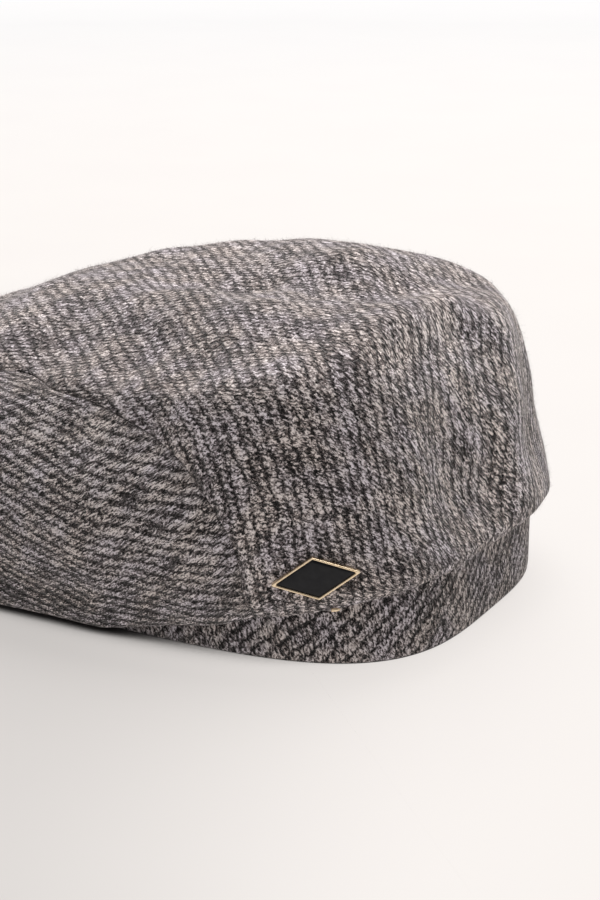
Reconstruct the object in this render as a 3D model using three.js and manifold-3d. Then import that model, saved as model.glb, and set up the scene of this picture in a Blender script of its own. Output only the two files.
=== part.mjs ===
// A driving cap of grey twill, lying on its head band: a crown of one panel over top and back, a gusset
// under the curved seam on each side, a band, a stiff peak and a small lozenge badge.
// Millimetres, +Z up. The wearer's left is +X, the back of the head +Y. The cap is modelled round the
// middle of its head band and set down with the middle of its footprint on the origin.
import * as THREE from 'three';
import { mergeVertices } from 'three/addons/utils/BufferGeometryUtils.js';
import Module from 'manifold-3d';

// Driving sizes
const GAP = 0.35;
const BAND = { halfWidth: 66.1, back: 91.1, front: 104, square: 3.5, cloth: 2.2 };
const PEAK = { thickness: 2.4, firstTurn: -25, lastTurn: -155, columns: 44, rows: 4 };
const BADGE = { width: 25.2, height: 12.6, thickness: 1.5, rim: 0.75, recess: 1, sunk: 0.1 };
const BADGE_SEAT = { level: 3.32, turn: 39.8, roll: 9.6 };
const PIN = { diameter: 1.1, length: 2.6, point: 0.9, sides: 10 };
const PIN_SEAT = { level: 1.8, turn: 40.8, roll: 6 };
const CROWN = { columns: 76, hemStep: 1 / 3, wallStep: 1 / 2, hemLevels: 3 };
const SEAM = { dip: 2, dipWidth: 8, inner: 5, outer: 120, steps: 44 };

// How square the plan is that the columns are spaced on, so that they stay even round the corners
const TURN_SQUARE = 3;
const FOLD_STEPS = 10;
const NUDGE = 0.02;
const WELD = 1e-4;

// Rows of numbers under named columns, as objects
const table = (columns, rows) => rows.map(
  (row) => Object.fromEntries(columns.map((name, i) => [name, row[i]])),
);

// Level sections of the crown from its turned-under hem to the middle of the roof. Each is a squared oval
// with heights of its own at the back, side and front; flare widens it towards the back, and hem is how
// much it follows the hem, which climbs evenly to the back and only near its front over the peak.
const SECTION_COLUMNS = [
  'name', 'halfWidth', 'back', 'front', 'square', 'flare', 'backZ', 'sideZ', 'frontZ', 'hem', 'cloth',
];
const SECTIONS = table(SECTION_COLUMNS, [
  ['underEdge', 66.5, 91.5, 141, 3.5, 0.00, 28.0, 11.0, 20.0, 1.0, 1.0],
  ['fold', 70.0, 93.8, 148, 3.3, 0.00, 24.2, 2.9, 15.4, 1.0, 1.0],
  ['lip', 74.5, 95.8, 153, 3.2, 0.00, 26.4, 4.7, 17.0, 1.0, 1.5],
  ['belly', 79.0, 96.5, 154, 3.1, 0.00, 30.1, 17.0, 24.0, 0.7, 2.2],
  ['wallLow', 81.0, 91.0, 150, 3.0, 0.03, 44.1, 37.0, 34.0, 0.2, 2.2],
  ['wallHigh', 77.5, 87.0, 140, 2.9, 0.08, 63.4, 57.0, 48.0, 0.0, 2.2],
  ['shoulder', 72.7, 78.6, 119, 2.8, 0.13, 84.8, 76.8, 62.2, 0.0, 2.2],
  ['roofEdge', 55.4, 58.4, 83, 2.6, 0.12, 94.4, 89.2, 75.9, 0.0, 2.2],
  ['roofMiddle', 31.5, 31.5, 42, 2.4, 0.08, 98.1, 95.5, 90.5, 0.0, 2.2],
  ['centre', 0, 0, 0, 2.0, 0.00, 93.3, 93.3, 93.3, 0.0, 2.2],
]);
const HEM_CLIMB = { back: 1.1, front: 6 };

// Foot and top of the band, root and front edge of the peak's underside, in the same columns
const [BAND_FOOT, BAND_TOP, PEAK_ROOT, PEAK_EDGE] = table(SECTION_COLUMNS, [
  ['bandFoot', BAND.halfWidth, BAND.back, BAND.front, BAND.square, 0, 0, 0, 19.4, 1, BAND.cloth],
  ['bandTop', BAND.halfWidth, BAND.back, BAND.front, BAND.square, 0, 31, 25, 40, 0, BAND.cloth],
  ['peakRoot', BAND.halfWidth + GAP, 0, BAND.front + GAP, BAND.square, 0, 0, 0, 19.4, 1, PEAK.thickness],
  ['peakEdge', 70.5, 0, 168, 2.9, 0, 0, 0, 9.6, 1, PEAK.thickness],
]);

// Soft folds and dents: a curve through three points, how far each side of it the cloth moves, and how far
// out (or in, if negative) it moves on the curve. A paired fold is on both sides of the cap.
const FOLDS = table(['name', 'from', 'over', 'to', 'width', 'depth', 'paired'], [
  ['roofTrough', [18, 14, 93], [8, 51, 95], [-45, 62, 89], 11, -4, false],
  ['roofHump', [-22, -18, 90], [-24, 6, 93], [-20, 34, 94], 15, 2, false],
  ['leftSlope', [66, 24, 88], [61, 1, 88], [56, -22, 87], 24, -9, false],
  ['shoulderDent', [55, 58, 88], [56, 58, 88], [57, 58, 88], 18, -2, false],
  ['backCorner', [25, 80, 85], [26, 80, 85], [27, 80, 85], 18, 2.5, false],
  ['sideBulge', [80, 0, 38], [80, -12, 36], [80, -24, 34], 22, 3, true],
  ['badgeSeat', [73, 62, 30], [69, 68, 30.5], [65, 74, 31], 10, -1, false],
]);

// The side seam as it is seen from the side, from the hem at the back to the hem at the front
const SEAM_LINE = table(['y', 'z'], [
  [50, 0],
  [49, 18],
  [46, 39],
  [31.5, 56.7],
  [11, 67],
  [-16, 70.5],
  [-40, 72],
  [-75, 64.5],
  [-110, 45],
  [-134, 22],
  [-143, 0],
]);

const CLOTH_FINISH = { color: 0x766e6d, roughness: 0.95, metalness: 0 };
const BAND_FINISH = { color: 0x6a6463, roughness: 0.95, metalness: 0 };
const BRASS_FINISH = { color: 0xc9a26a, roughness: 0.3, metalness: 1 };
const ENAMEL_FINISH = { color: 0x0c0c0e, roughness: 0.12, metalness: 0 };

const wasm = await Module();
wasm.setup();

const { degToRad: radians, lerp, smoothstep } = THREE.MathUtils;
const signedPower = (value, power) => Math.sign(value) * Math.abs(value) ** power;

// The point of a section at a turn: 0 is the wearer's left, a quarter turn on is the back
function sectionPoint(section, turn) {
  const cosine = signedPower(Math.cos(turn), TURN_SQUARE / 2);
  const sine = signedPower(Math.sin(turn), TURN_SQUARE / 2);
  const length = Math.hypot(cosine, sine);
  const across = signedPower(cosine / length, 2 / section.square);
  const along = signedPower(sine / length, 2 / section.square);
  const backShare = lerp((along ** 2 + along) / 2, Math.max(along, 0) ** HEM_CLIMB.back, section.hem);
  const frontShare = lerp((along ** 2 - along) / 2, Math.max(-along, 0) ** HEM_CLIMB.front, section.hem);
  const backClimb = (section.backZ - section.sideZ) * backShare;
  const frontClimb = (section.frontZ - section.sideZ) * frontShare;
  return new THREE.Vector3(
    section.halfWidth * across * (1 + section.flare * along),
    (along > 0 ? section.back : section.front) * along,
    section.sideZ + backClimb + frontClimb,
  );
}

// Crown surface
const TOP_LEVEL = SECTIONS.length - 1;

// A smooth point through the sections; the curve runs on over the roof, so the middle is round
function loftPoint(level, turn) {
  const points = SECTIONS.map((section) => sectionPoint(section, turn));
  points.push(sectionPoint(SECTIONS[TOP_LEVEL - 1], turn + Math.PI));
  const meridian = new THREE.CatmullRomCurve3(points, false, 'catmullrom', 0.5);
  return meridian.getPoint(level / (points.length - 1));
}

// The outward normal of a surface that is given by level and turn
function surfaceNormal(pointAt, level, turn) {
  if (level > TOP_LEVEL - NUDGE) return new THREE.Vector3(0, 0, 1);
  const below = Math.max(level - NUDGE, 0);
  const above = level + NUDGE;
  const aroundStep = pointAt(level, turn + NUDGE).sub(pointAt(level, turn - NUDGE));
  const upStep = pointAt(above, turn).sub(pointAt(below, turn));
  return aroundStep.cross(upStep).normalize();
}

const foldCurves = FOLDS.flatMap((fold) => {
  const sides = fold.paired ? [1, -1] : [1];
  return sides.map((side) => {
    const points = [fold.from, fold.over, fold.to].map(([x, y, z]) => new THREE.Vector3(side * x, y, z));
    return { ...fold, path: new THREE.CatmullRomCurve3(points).getPoints(FOLD_STEPS) };
  });
});
const seamCurve = new THREE.SplineCurve(SEAM_LINE.map(({ y, z }) => new THREE.Vector2(y, z)));
const seamPath = seamCurve.getPoints(SEAM.steps).map((p) => new THREE.Vector3(0, p.x, p.y));

// How near a point is to a path of short straight steps
function pathDistance(point, path) {
  const step = new THREE.Line3();
  const nearest = new THREE.Vector3();
  let distance = Infinity;
  for (let i = 1; i < path.length; i += 1) {
    step.set(path[i - 1], path[i]).closestPointToPoint(point, true, nearest);
    distance = Math.min(distance, nearest.distanceTo(point));
  }
  return distance;
}

const softDip = (distance, width) => Math.exp(-((distance / width) ** 2));

// How far the folds and the sewn seam move the cloth out at a point of the smooth crown
function foldDepth(point) {
  const sideView = new THREE.Vector3(0, point.y, point.z);
  const seam = -SEAM.dip * softDip(pathDistance(sideView, seamPath), SEAM.dipWidth);
  return foldCurves.reduce(
    (sum, fold) => sum + fold.depth * softDip(pathDistance(point, fold.path), fold.width),
    seam,
  );
}

// The sewn edge at the band stays where it is, and the folds grow from there to the belly
function crownPoint(level, turn) {
  const point = loftPoint(level, turn);
  const depth = foldDepth(point) * smoothstep(level, 0, CROWN.hemLevels);
  return point.addScaledVector(surfaceNormal(loftPoint, level, turn), depth);
}

function clothAt(level) {
  const lower = Math.min(Math.floor(level), TOP_LEVEL - 1);
  return lerp(SECTIONS[lower].cloth, SECTIONS[lower + 1].cloth, level - lower);
}

// Mesh helpers
function meshGeometry(vertices, triangles) {
  const geometry = new THREE.BufferGeometry();
  const coordinates = vertices.flatMap((vertex) => vertex.toArray());
  geometry.setAttribute('position', new THREE.Float32BufferAttribute(coordinates, 3));
  geometry.setIndex(triangles);
  return geometry;
}

// Two triangles for each cell of a grid of vertex numbers, facing out where rows climb and columns turn
function gridTriangles(rows, closed) {
  const triangles = [];
  for (let r = 1; r < rows.length; r += 1) {
    const [low, high] = [rows[r - 1], rows[r]];
    const cells = closed ? low.length : low.length - 1;
    for (let c = 0; c < cells; c += 1) {
      const next = (c + 1) % low.length;
      triangles.push(low[c], low[next], high[next], low[c], high[next], high[c]);
    }
  }
  return triangles;
}

// Adds each row of points to the vertices and gives the rows of their numbers
function addRows(vertices, pointRows) {
  return pointRows.map((points) => points.map((point) => vertices.push(point) - 1));
}

function toSolid(geometry) {
  const bare = geometry.clone();
  bare.deleteAttribute('normal');
  bare.deleteAttribute('uv');
  const merged = mergeVertices(bare, WELD);
  return new wasm.Manifold(new wasm.Mesh({
    numProp: 3,
    vertProperties: new Float32Array(merged.attributes.position.array),
    triVerts: new Uint32Array(merged.index.array),
  }));
}

function toGeometry(solid) {
  const { vertProperties, triVerts } = solid.getMesh();
  const geometry = new THREE.BufferGeometry();
  geometry.setAttribute('position', new THREE.Float32BufferAttribute(vertProperties, 3));
  geometry.setIndex(Array.from(triVerts));
  return geometry;
}

function namedMesh(name, geometry, finish) {
  geometry.computeVertexNormals();
  const mesh = new THREE.Mesh(geometry, new THREE.MeshStandardMaterial(finish));
  mesh.name = name;
  return mesh;
}

// Crown and side panels
const evenTurns = (count) => Array.from({ length: count }, (_, i) => (2 * Math.PI * i) / count);

function crownLevels() {
  const levels = [];
  for (let level = 0; level < CROWN.hemLevels; level += CROWN.hemStep) levels.push(level);
  for (let level = CROWN.hemLevels; level < TOP_LEVEL; level += CROWN.wallStep) levels.push(level);
  return levels;
}

// The whole crown as one hollow wall: the outer cloth, the inner cloth and the raw edge between them
function crownShell() {
  const turns = evenTurns(CROWN.columns);
  const levels = crownLevels();
  const innerPoint = (level, turn) => crownPoint(level, turn)
    .addScaledVector(surfaceNormal(crownPoint, level, turn), -clothAt(level));
  const vertices = [];
  const outer = addRows(vertices, levels.map((level) => turns.map((turn) => crownPoint(level, turn))));
  const inner = addRows(vertices, levels.map((level) => turns.map((turn) => innerPoint(level, turn))));
  const outerTop = vertices.push(crownPoint(TOP_LEVEL, 0)) - 1;
  const innerTop = vertices.push(innerPoint(TOP_LEVEL, 0)) - 1;
  const rows = [...inner.toReversed(), ...outer];
  const triangles = gridTriangles(rows, true);
  turns.forEach((_, c) => {
    const next = (c + 1) % turns.length;
    triangles.push(outer.at(-1)[c], outer.at(-1)[next], outerTop);
    triangles.push(inner.at(-1)[next], inner.at(-1)[c], innerTop);
  });
  return meshGeometry(vertices, triangles);
}

// A block that holds all of the crown under the seam on one side (1 left, -1 right), grown past the seam
function gussetBlock(side, growth) {
  const outline = new THREE.Shape();
  for (let i = 0; i <= SEAM.steps; i += 1) {
    const share = i / SEAM.steps;
    const tangent = seamCurve.getTangent(share);
    const outward = new THREE.Vector2(tangent.y, -tangent.x);
    const point = seamCurve.getPoint(share).addScaledVector(outward, growth);
    if (i === 0) outline.moveTo(point.x, point.y - GAP);
    outline.lineTo(point.x, point.y);
  }
  outline.lineTo(SEAM_LINE.at(-1).y - growth, -GAP);
  const block = new THREE.ExtrudeGeometry(outline, { depth: SEAM.outer - SEAM.inner, bevelEnabled: false });
  const axes = [new THREE.Vector3(0, 1, 0), new THREE.Vector3(0, 0, 1), new THREE.Vector3(1, 0, 0)];
  block.applyMatrix4(new THREE.Matrix4().makeBasis(...axes));
  return block.translate(side > 0 ? SEAM.inner : -SEAM.outer, 0, 0);
}

function crownPieces() {
  const shell = toSolid(crownShell());
  const sides = [['side_panel_left', 1], ['side_panel_right', -1]];
  const panels = sides.map(([name, side]) => {
    const panel = shell.intersect(toSolid(gussetBlock(side, 0)));
    return namedMesh(name, toGeometry(panel), CLOTH_FINISH);
  });
  const crown = sides.reduce((rest, [, side]) => rest.subtract(toSolid(gussetBlock(side, GAP))), shell);
  return [namedMesh('crown_panel', toGeometry(crown), CLOTH_FINISH), ...panels];
}

// Band: an upright wall between its foot and top, as thick as the cloth
function band() {
  const turns = evenTurns(CROWN.columns);
  const inward = (section) => ({
    ...section,
    halfWidth: section.halfWidth - BAND.cloth,
    back: section.back - BAND.cloth,
    front: section.front - BAND.cloth,
  });
  const edges = [BAND_FOOT, BAND_TOP, inward(BAND_TOP), inward(BAND_FOOT)];
  const vertices = [];
  const rows = addRows(vertices, edges.map((section) => turns.map((turn) => sectionPoint(section, turn))));
  return namedMesh('band', meshGeometry(vertices, gridTriangles([...rows, rows[0]], true)), BAND_FINISH);
}

// Peak: a plate from its root on the band to its front edge, arched across and lying low at the sides
function peak() {
  const columns = Array.from({ length: PEAK.columns + 1 }, (_, i) => radians(
    lerp(PEAK.lastTurn, PEAK.firstTurn, i / PEAK.columns),
  ));
  const plateRow = (share, lift) => columns.map((turn) => sectionPoint(PEAK_ROOT, turn)
    .lerp(sectionPoint(PEAK_EDGE, turn), share)
    .add(new THREE.Vector3(0, 0, lift)));
  const shares = Array.from({ length: PEAK.rows + 1 }, (_, r) => r / PEAK.rows);
  const vertices = [];
  const top = addRows(vertices, shares.toReversed().map((share) => plateRow(share, PEAK.thickness)));
  const bottom = addRows(vertices, shares.map((share) => plateRow(share, 0)));
  const loop = [...top, ...bottom];
  const triangles = gridTriangles([...loop, loop[0]], false);
  const ends = [0, columns.length - 1];
  ends.forEach((column, i) => {
    for (let r = 0; r < PEAK.rows; r += 1) {
      const corners = [top[r], top[r + 1], bottom.at(-2 - r), bottom.at(-1 - r)].map((row) => row[column]);
      const [a, b, c, d] = i === 0 ? corners : corners.toReversed();
      triangles.push(a, b, c, a, c, d);
    }
  });
  return namedMesh('peak', meshGeometry(vertices, triangles), CLOTH_FINISH);
}

// A group that lies on the crown's cloth at a level and turn, with +Z out of the cloth
function seatOnCrown({ level, turn, roll }) {
  const place = [level, radians(turn)];
  const out = surfaceNormal(crownPoint, ...place);
  const along = new THREE.Vector3(0, 0, 1).cross(out).normalize();
  const seat = new THREE.Group();
  seat.setRotationFromMatrix(new THREE.Matrix4().makeBasis(along, out.clone().cross(along), out));
  seat.rotateZ(radians(roll));
  seat.position.copy(crownPoint(...place)).addScaledVector(out, GAP);
  return seat;
}

function lozenge(width, height, depth) {
  const outline = new THREE.Shape();
  outline.moveTo(width / 2, 0).lineTo(0, height / 2).lineTo(-width / 2, 0).lineTo(0, -height / 2);
  return new THREE.ExtrudeGeometry(outline, { depth, bevelEnabled: false });
}

// A lozenge whose sides lie a distance inside the badge's outline
function insetLozenge(inset, depth) {
  const sideHeight = (BADGE.width * BADGE.height) / (2 * Math.hypot(BADGE.width, BADGE.height));
  const share = 1 - inset / sideHeight;
  return lozenge(BADGE.width * share, BADGE.height * share, depth);
}

// Badge: a brass tray with a thin rim, and black enamel lying in it
function badge() {
  const floorZ = BADGE.thickness - BADGE.recess;
  const hollow = insetLozenge(BADGE.rim, BADGE.thickness).translate(0, 0, floorZ);
  const tray = toSolid(lozenge(BADGE.width, BADGE.height, BADGE.thickness)).subtract(toSolid(hollow));
  const enamelDepth = BADGE.recess - GAP - BADGE.sunk;
  const enamel = insetLozenge(BADGE.rim + GAP / 2, enamelDepth).translate(0, 0, floorZ + GAP);
  const seat = seatOnCrown(BADGE_SEAT);
  seat.add(namedMesh('badge_rim', toGeometry(tray), BRASS_FINISH));
  seat.add(namedMesh('badge_enamel', enamel, ENAMEL_FINISH));
  return seat;
}

// Pin: the tip of the badge's needle, lying along the lip
function badgePin() {
  const radius = PIN.diameter / 2;
  const shank = PIN.length - PIN.point;
  const profile = [[0, 0], [radius, 0], [radius, shank], [0, PIN.length]];
  const outline = profile.map(([r, y]) => new THREE.Vector2(r, y));
  const tip = new THREE.LatheGeometry(outline, PIN.sides)
    .translate(0, -PIN.length / 2, 0)
    .rotateZ(-Math.PI / 2);
  const seat = seatOnCrown(PIN_SEAT);
  const mesh = namedMesh('badge_pin', tip, BRASS_FINISH);
  mesh.position.z = radius;
  seat.add(mesh);
  return seat;
}

const cap = new THREE.Group();
cap.name = 'driving_cap';
cap.add(...crownPieces(), band(), peak(), badge(), badgePin());
const backReach = Math.max(...SECTIONS.map((section) => section.back));
cap.position.y = (PEAK_EDGE.front - backReach) / 2;

export default cap;
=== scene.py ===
"""Dresses a driving cap: heathered twill panels, a bias head band, a peak, a lozenge badge and wool fuzz.

The cap's solids come packed, and each piece here stands for one of them in the same frame. Shapes are
worked out in millimetres round the middle of the head band and set down in metres, with +Z up, the back of
the head towards +Y and the wearer's left towards +X.
"""

import logging
import math
from dataclasses import dataclass, replace
from enum import Enum
from typing import Any, Sequence, Union

import bpy
import numpy as np
from mathutils import Matrix, Vector

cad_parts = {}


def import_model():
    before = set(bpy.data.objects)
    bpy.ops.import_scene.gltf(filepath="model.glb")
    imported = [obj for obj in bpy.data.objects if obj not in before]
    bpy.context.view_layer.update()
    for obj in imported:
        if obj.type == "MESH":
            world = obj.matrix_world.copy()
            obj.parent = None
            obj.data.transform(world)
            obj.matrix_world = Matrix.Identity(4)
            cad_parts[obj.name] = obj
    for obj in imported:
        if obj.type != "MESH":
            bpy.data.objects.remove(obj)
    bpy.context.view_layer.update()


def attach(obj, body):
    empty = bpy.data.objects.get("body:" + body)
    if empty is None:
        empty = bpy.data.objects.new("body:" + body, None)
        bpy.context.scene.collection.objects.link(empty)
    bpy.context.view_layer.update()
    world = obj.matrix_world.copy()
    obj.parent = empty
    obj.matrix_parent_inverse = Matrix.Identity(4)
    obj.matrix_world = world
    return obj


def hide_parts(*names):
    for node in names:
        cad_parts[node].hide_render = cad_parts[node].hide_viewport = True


log = logging.getLogger("driving_cap")

Array = np.ndarray
Colour = tuple[float, float, float]
Span = tuple[float, float]
Stops = tuple[tuple[float, Colour], ...]
Solid = tuple[Array, list[list[int]]]
Settings = dict[str, Any]
Sockets = dict[Union[str, int], Any]

# Metres in a millimetre, and how far the head band's middle lies behind the frame's origin
MM = 0.001
BAND_TO_ORIGIN = 35.75
# How turns crowd at a section's corners, and how its hem climbs towards the back and the front
TURN_SQUARE = 3.0
BACK_CLIMB = 1.1
FRONT_CLIMB = 6
# How far the badge sits off the cloth, and a depth that is well outside any gusset, in millimetres
GAP = 0.35
OUTSIDE = -60.0


class Slot(Enum):
    """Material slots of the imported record."""

    CLOTH = "cloth"
    BAND = "band_cloth"
    BRASS = "brass"
    ENAMEL = "enamel"


class Side(Enum):
    """The wearer's two sides, as the sign of X."""

    LEFT = 1
    RIGHT = -1


def signed_power(value: Array, power: float) -> Array:
    """A power that keeps the sign of its value."""
    return np.sign(value) * np.abs(value) ** power


def soft_dip(distance: Array, width: float) -> Array:
    """One on a line, fading smoothly to nothing over about twice the width."""
    return np.exp(-((distance / width) ** 2))


def smoothstep(value: Array, low: float, high: float) -> Array:
    """Zero below low, one above high and smooth between."""
    share = np.clip((value - low) / (high - low), 0.0, 1.0)
    return share * share * (3.0 - 2.0 * share)


def full_turn(count: int) -> Array:
    """Even turns once round."""
    return np.arange(count) * (2 * math.pi / count)


def spline(points: Sequence[Sequence[float]], steps: int) -> Array:
    """Runs a smooth curve through points.

    Args:
        points: The points, in two or three dimensions.
        steps: How many steps each span is cut into.

    Returns:
        The curve's points in order.
    """
    knots = np.array(points, float)
    ends = np.concatenate([[2 * knots[0] - knots[1]], knots, [2 * knots[-1] - knots[-2]]])
    share = (np.arange(steps) / steps)[:, None]
    spans = []
    for before, start, stop, after in zip(ends[:-3], ends[1:-2], ends[2:-1], ends[3:]):
        spans.append(hermite(before, start, stop, after, share))
    return np.concatenate([*spans, knots[-1:]])


def hermite(before: Array, start: Array, stop: Array, after: Array, share: Array) -> Array:
    """The point at a share of the way from start to stop on a smooth curve through four knots.

    Args:
        before: The knot before the span.
        start: The knot at its start.
        stop: The knot at its end.
        after: The knot after it.
        share: How far along the span, from 0 to 1.

    Returns:
        The point or points.
    """
    slope = stop - before
    bend = 2 * before - 5 * start + 4 * stop - after
    twist = 3 * start - before - 3 * stop + after
    return 0.5 * (2 * start + slope * share + bend * share**2 + twist * share**3)


def path_distance(points: Array, path: Array) -> Array:
    """How near each point is to a path of short straight steps.

    Args:
        points: Points of any grid shape, with their coordinates last.
        path: The path's points in order.

    Returns:
        The distances, in the grid's shape.
    """
    nearest = np.full(points.shape[:-1], np.inf)
    for start, stop in zip(path[:-1], path[1:]):
        step = stop - start
        share = np.clip(((points - start) @ step) / (step @ step), 0.0, 1.0)
        gap = points - start - share[..., None] * step
        nearest = np.minimum(nearest, np.linalg.norm(gap, axis=-1))
    return nearest


def unit(vectors: Array) -> Array:
    """Vectors of length one."""
    return vectors / np.maximum(np.linalg.norm(vectors, axis=-1, keepdims=True), 1e-9)


@dataclass
class Patch:
    """A sheet of triangles with its normals, its weave coordinates and its thickness, in millimetres."""

    points: Array
    normals: Array
    weave: Array
    cloth: Array
    triangles: Array

    def trimmed(self, values: Array, keep_above: float) -> "Patch":
        """Cuts the sheet along the line where a value given at its points reaches a limit.

        Args:
            values: The value at each point.
            keep_above: The limit; the part with larger values is kept.

        Returns:
            The kept part, with a clean edge on the line.
        """
        level = values - keep_above
        inside = level > 0
        count = inside[self.triangles].sum(axis=1)
        kept = [self.triangles[count == 3]]
        crossing = self.triangles[(count > 0) & (count < 3)]
        edge_numbers: dict[tuple[int, int], int] = {}
        edges: list[tuple[int, int]] = []

        def cut(a: int, b: int) -> int:
            """The number of the new point on an edge."""
            key = (min(a, b), max(a, b))
            if key not in edge_numbers:
                edge_numbers[key] = len(self.points) + len(edges)
                edges.append(key)
            return edge_numbers[key]

        pieces = []
        for triangle in crossing.tolist():
            alone = [inside[i] for i in triangle]
            odd = alone.index(True) if sum(alone) == 1 else alone.index(False)
            a, b, c = triangle[odd], triangle[odd - 2], triangle[odd - 1]
            if alone[odd]:
                pieces.append((a, cut(a, b), cut(a, c)))
            else:
                pieces.append((cut(a, b), b, c))
                pieces.append((cut(a, b), c, cut(a, c)))
        kept.append(np.array(pieces, int).reshape(-1, 3))
        first, second = np.array(edges, int).reshape(-1, 2).T
        share = level[first] / (level[first] - level[second])

        def with_cuts(old: Array) -> Array:
            """What the points hold, with what the new points hold after it."""
            weight = share if old.ndim == 1 else share[:, None]
            return np.concatenate([old, old[first] * (1 - weight) + old[second] * weight])

        whole = Patch(
            with_cuts(self.points),
            unit(with_cuts(self.normals)),
            with_cuts(self.weave),
            with_cuts(self.cloth),
            np.concatenate(kept),
        )
        return whole.packed()

    def packed(self) -> "Patch":
        """The sheet without the points that no triangle uses.

        Returns:
            The smaller sheet.
        """
        used, numbers = np.unique(self.triangles, return_inverse=True)
        triangles = numbers.reshape(-1, 3)
        return Patch(self.points[used], self.normals[used], self.weave[used], self.cloth[used], triangles)

    def shell(self) -> "Patch":
        """The sheet as cloth of its own thickness: the outer face, the inner face and the cut edges.

        Returns:
            The closed sheet.
        """
        count = len(self.points)
        inner = self.points - self.normals * self.cloth[:, None]
        corners = self.triangles
        edges = np.concatenate([corners[:, [0, 1]], corners[:, [1, 2]], corners[:, [2, 0]]])
        known = {(a, b) for a, b in edges.tolist()}
        rim = np.array([(a, b) for a, b in edges.tolist() if (b, a) not in known], int).reshape(-1, 2)
        a, b = rim.T
        sides = np.concatenate([np.stack([b, a, a + count], 1), np.stack([b, a + count, b + count], 1)])
        return Patch(
            np.concatenate([self.points, inner]),
            np.concatenate([self.normals, -self.normals]),
            np.concatenate([self.weave, self.weave]),
            np.concatenate([self.cloth, self.cloth]),
            np.concatenate([corners, corners[:, ::-1] + count, sides]),
        )


def grid_triangles(rows: int, columns: int, closed: bool) -> Array:
    """Two triangles for each cell of a grid whose rows climb and whose columns turn.

    Args:
        rows: How many rows of points the grid has.
        columns: How many points a row has.
        closed: Whether the last column meets the first.

    Returns:
        The triangles' point numbers.
    """
    numbers = np.arange(rows * columns).reshape(rows, columns)
    if closed:
        numbers = np.concatenate([numbers, numbers[:, :1]], axis=1)
    a, b = numbers[:-1, :-1].ravel(), numbers[:-1, 1:].ravel()
    d, c = numbers[1:, :-1].ravel(), numbers[1:, 1:].ravel()
    return np.concatenate([np.stack([a, b, c], 1), np.stack([a, c, d], 1)])


def tube_triangles(rows: int, columns: int, closed: bool) -> Array:
    """The triangles of a grid whose last row meets its first."""
    return grid_triangles(rows + 1, columns, closed) % (rows * columns)


def capped(rings: Sequence[Array]) -> Solid:
    """A solid through closed rings of points, with a flat face over the first ring and the last.

    Args:
        rings: The rings in order, each with as many points as the others.

    Returns:
        The points and the faces.
    """
    count = len(rings[0])
    last = (len(rings) - 1) * count
    faces = grid_triangles(len(rings), count, True).tolist()
    faces += [list(range(last, last + count)), list(range(count))[::-1]]
    return np.concatenate(rings), faces


def grid_normals(grid: Array, closed: bool) -> Array:
    """Outward normals of a grid of points whose rows climb and whose columns turn.

    Args:
        grid: The points.
        closed: Whether the last column meets the first.

    Returns:
        The grid of normals.
    """
    if closed:
        around = np.roll(grid, -1, 1) - np.roll(grid, 1, 1)
    else:
        around = np.gradient(grid, axis=1)
    return unit(np.cross(around, np.gradient(grid, axis=0)))


def run_from_first(grid: Array) -> Array:
    """How far over the cloth each point of a grid lies from the first row."""
    steps = np.linalg.norm(np.diff(grid, axis=0, prepend=grid[:1]), axis=-1)
    return np.cumsum(steps, axis=0)


class Piece:
    """A finished mesh object of the cap."""

    def __init__(self, name: str, points: Array, faces: Sequence[Sequence[int]], weave: Array) -> None:
        """Makes the object.

        Args:
            name: The object's name.
            points: Its points, in millimetres round the head band.
            faces: Its faces' point numbers.
            weave: Where each point lies on the flat cloth, in millimetres, or its fibre's tone twice.
        """
        mesh = bpy.data.meshes.new(name)
        placed = (points + np.array([0.0, BAND_TO_ORIGIN, 0.0])) * MM
        mesh.from_pydata(placed.tolist(), [], [list(face) for face in faces])
        corners = np.empty(len(mesh.loops), np.int32)
        mesh.loops.foreach_get("vertex_index", corners)
        layer = mesh.uv_layers.new(name="weave")
        layer.data.foreach_set("uv", weave[corners].astype(np.float32).ravel())
        mesh.shade_smooth()
        mesh.update()
        self.object = bpy.data.objects.new(name, mesh)
        bpy.context.scene.collection.objects.link(self.object)

    def dress(self, material: bpy.types.Material, stands_for: Sequence[str]) -> None:
        """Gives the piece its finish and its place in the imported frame.

        Args:
            material: The finish.
            stands_for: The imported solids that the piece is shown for.
        """
        self.object.data.materials.append(material)
        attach(self.object, "root")
        if stands_for:
            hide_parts(*stands_for)
        log.info("%s: %d faces, %s", self.object.name, len(self.object.data.polygons), material.name)


Number = Union["Value", float]


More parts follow.
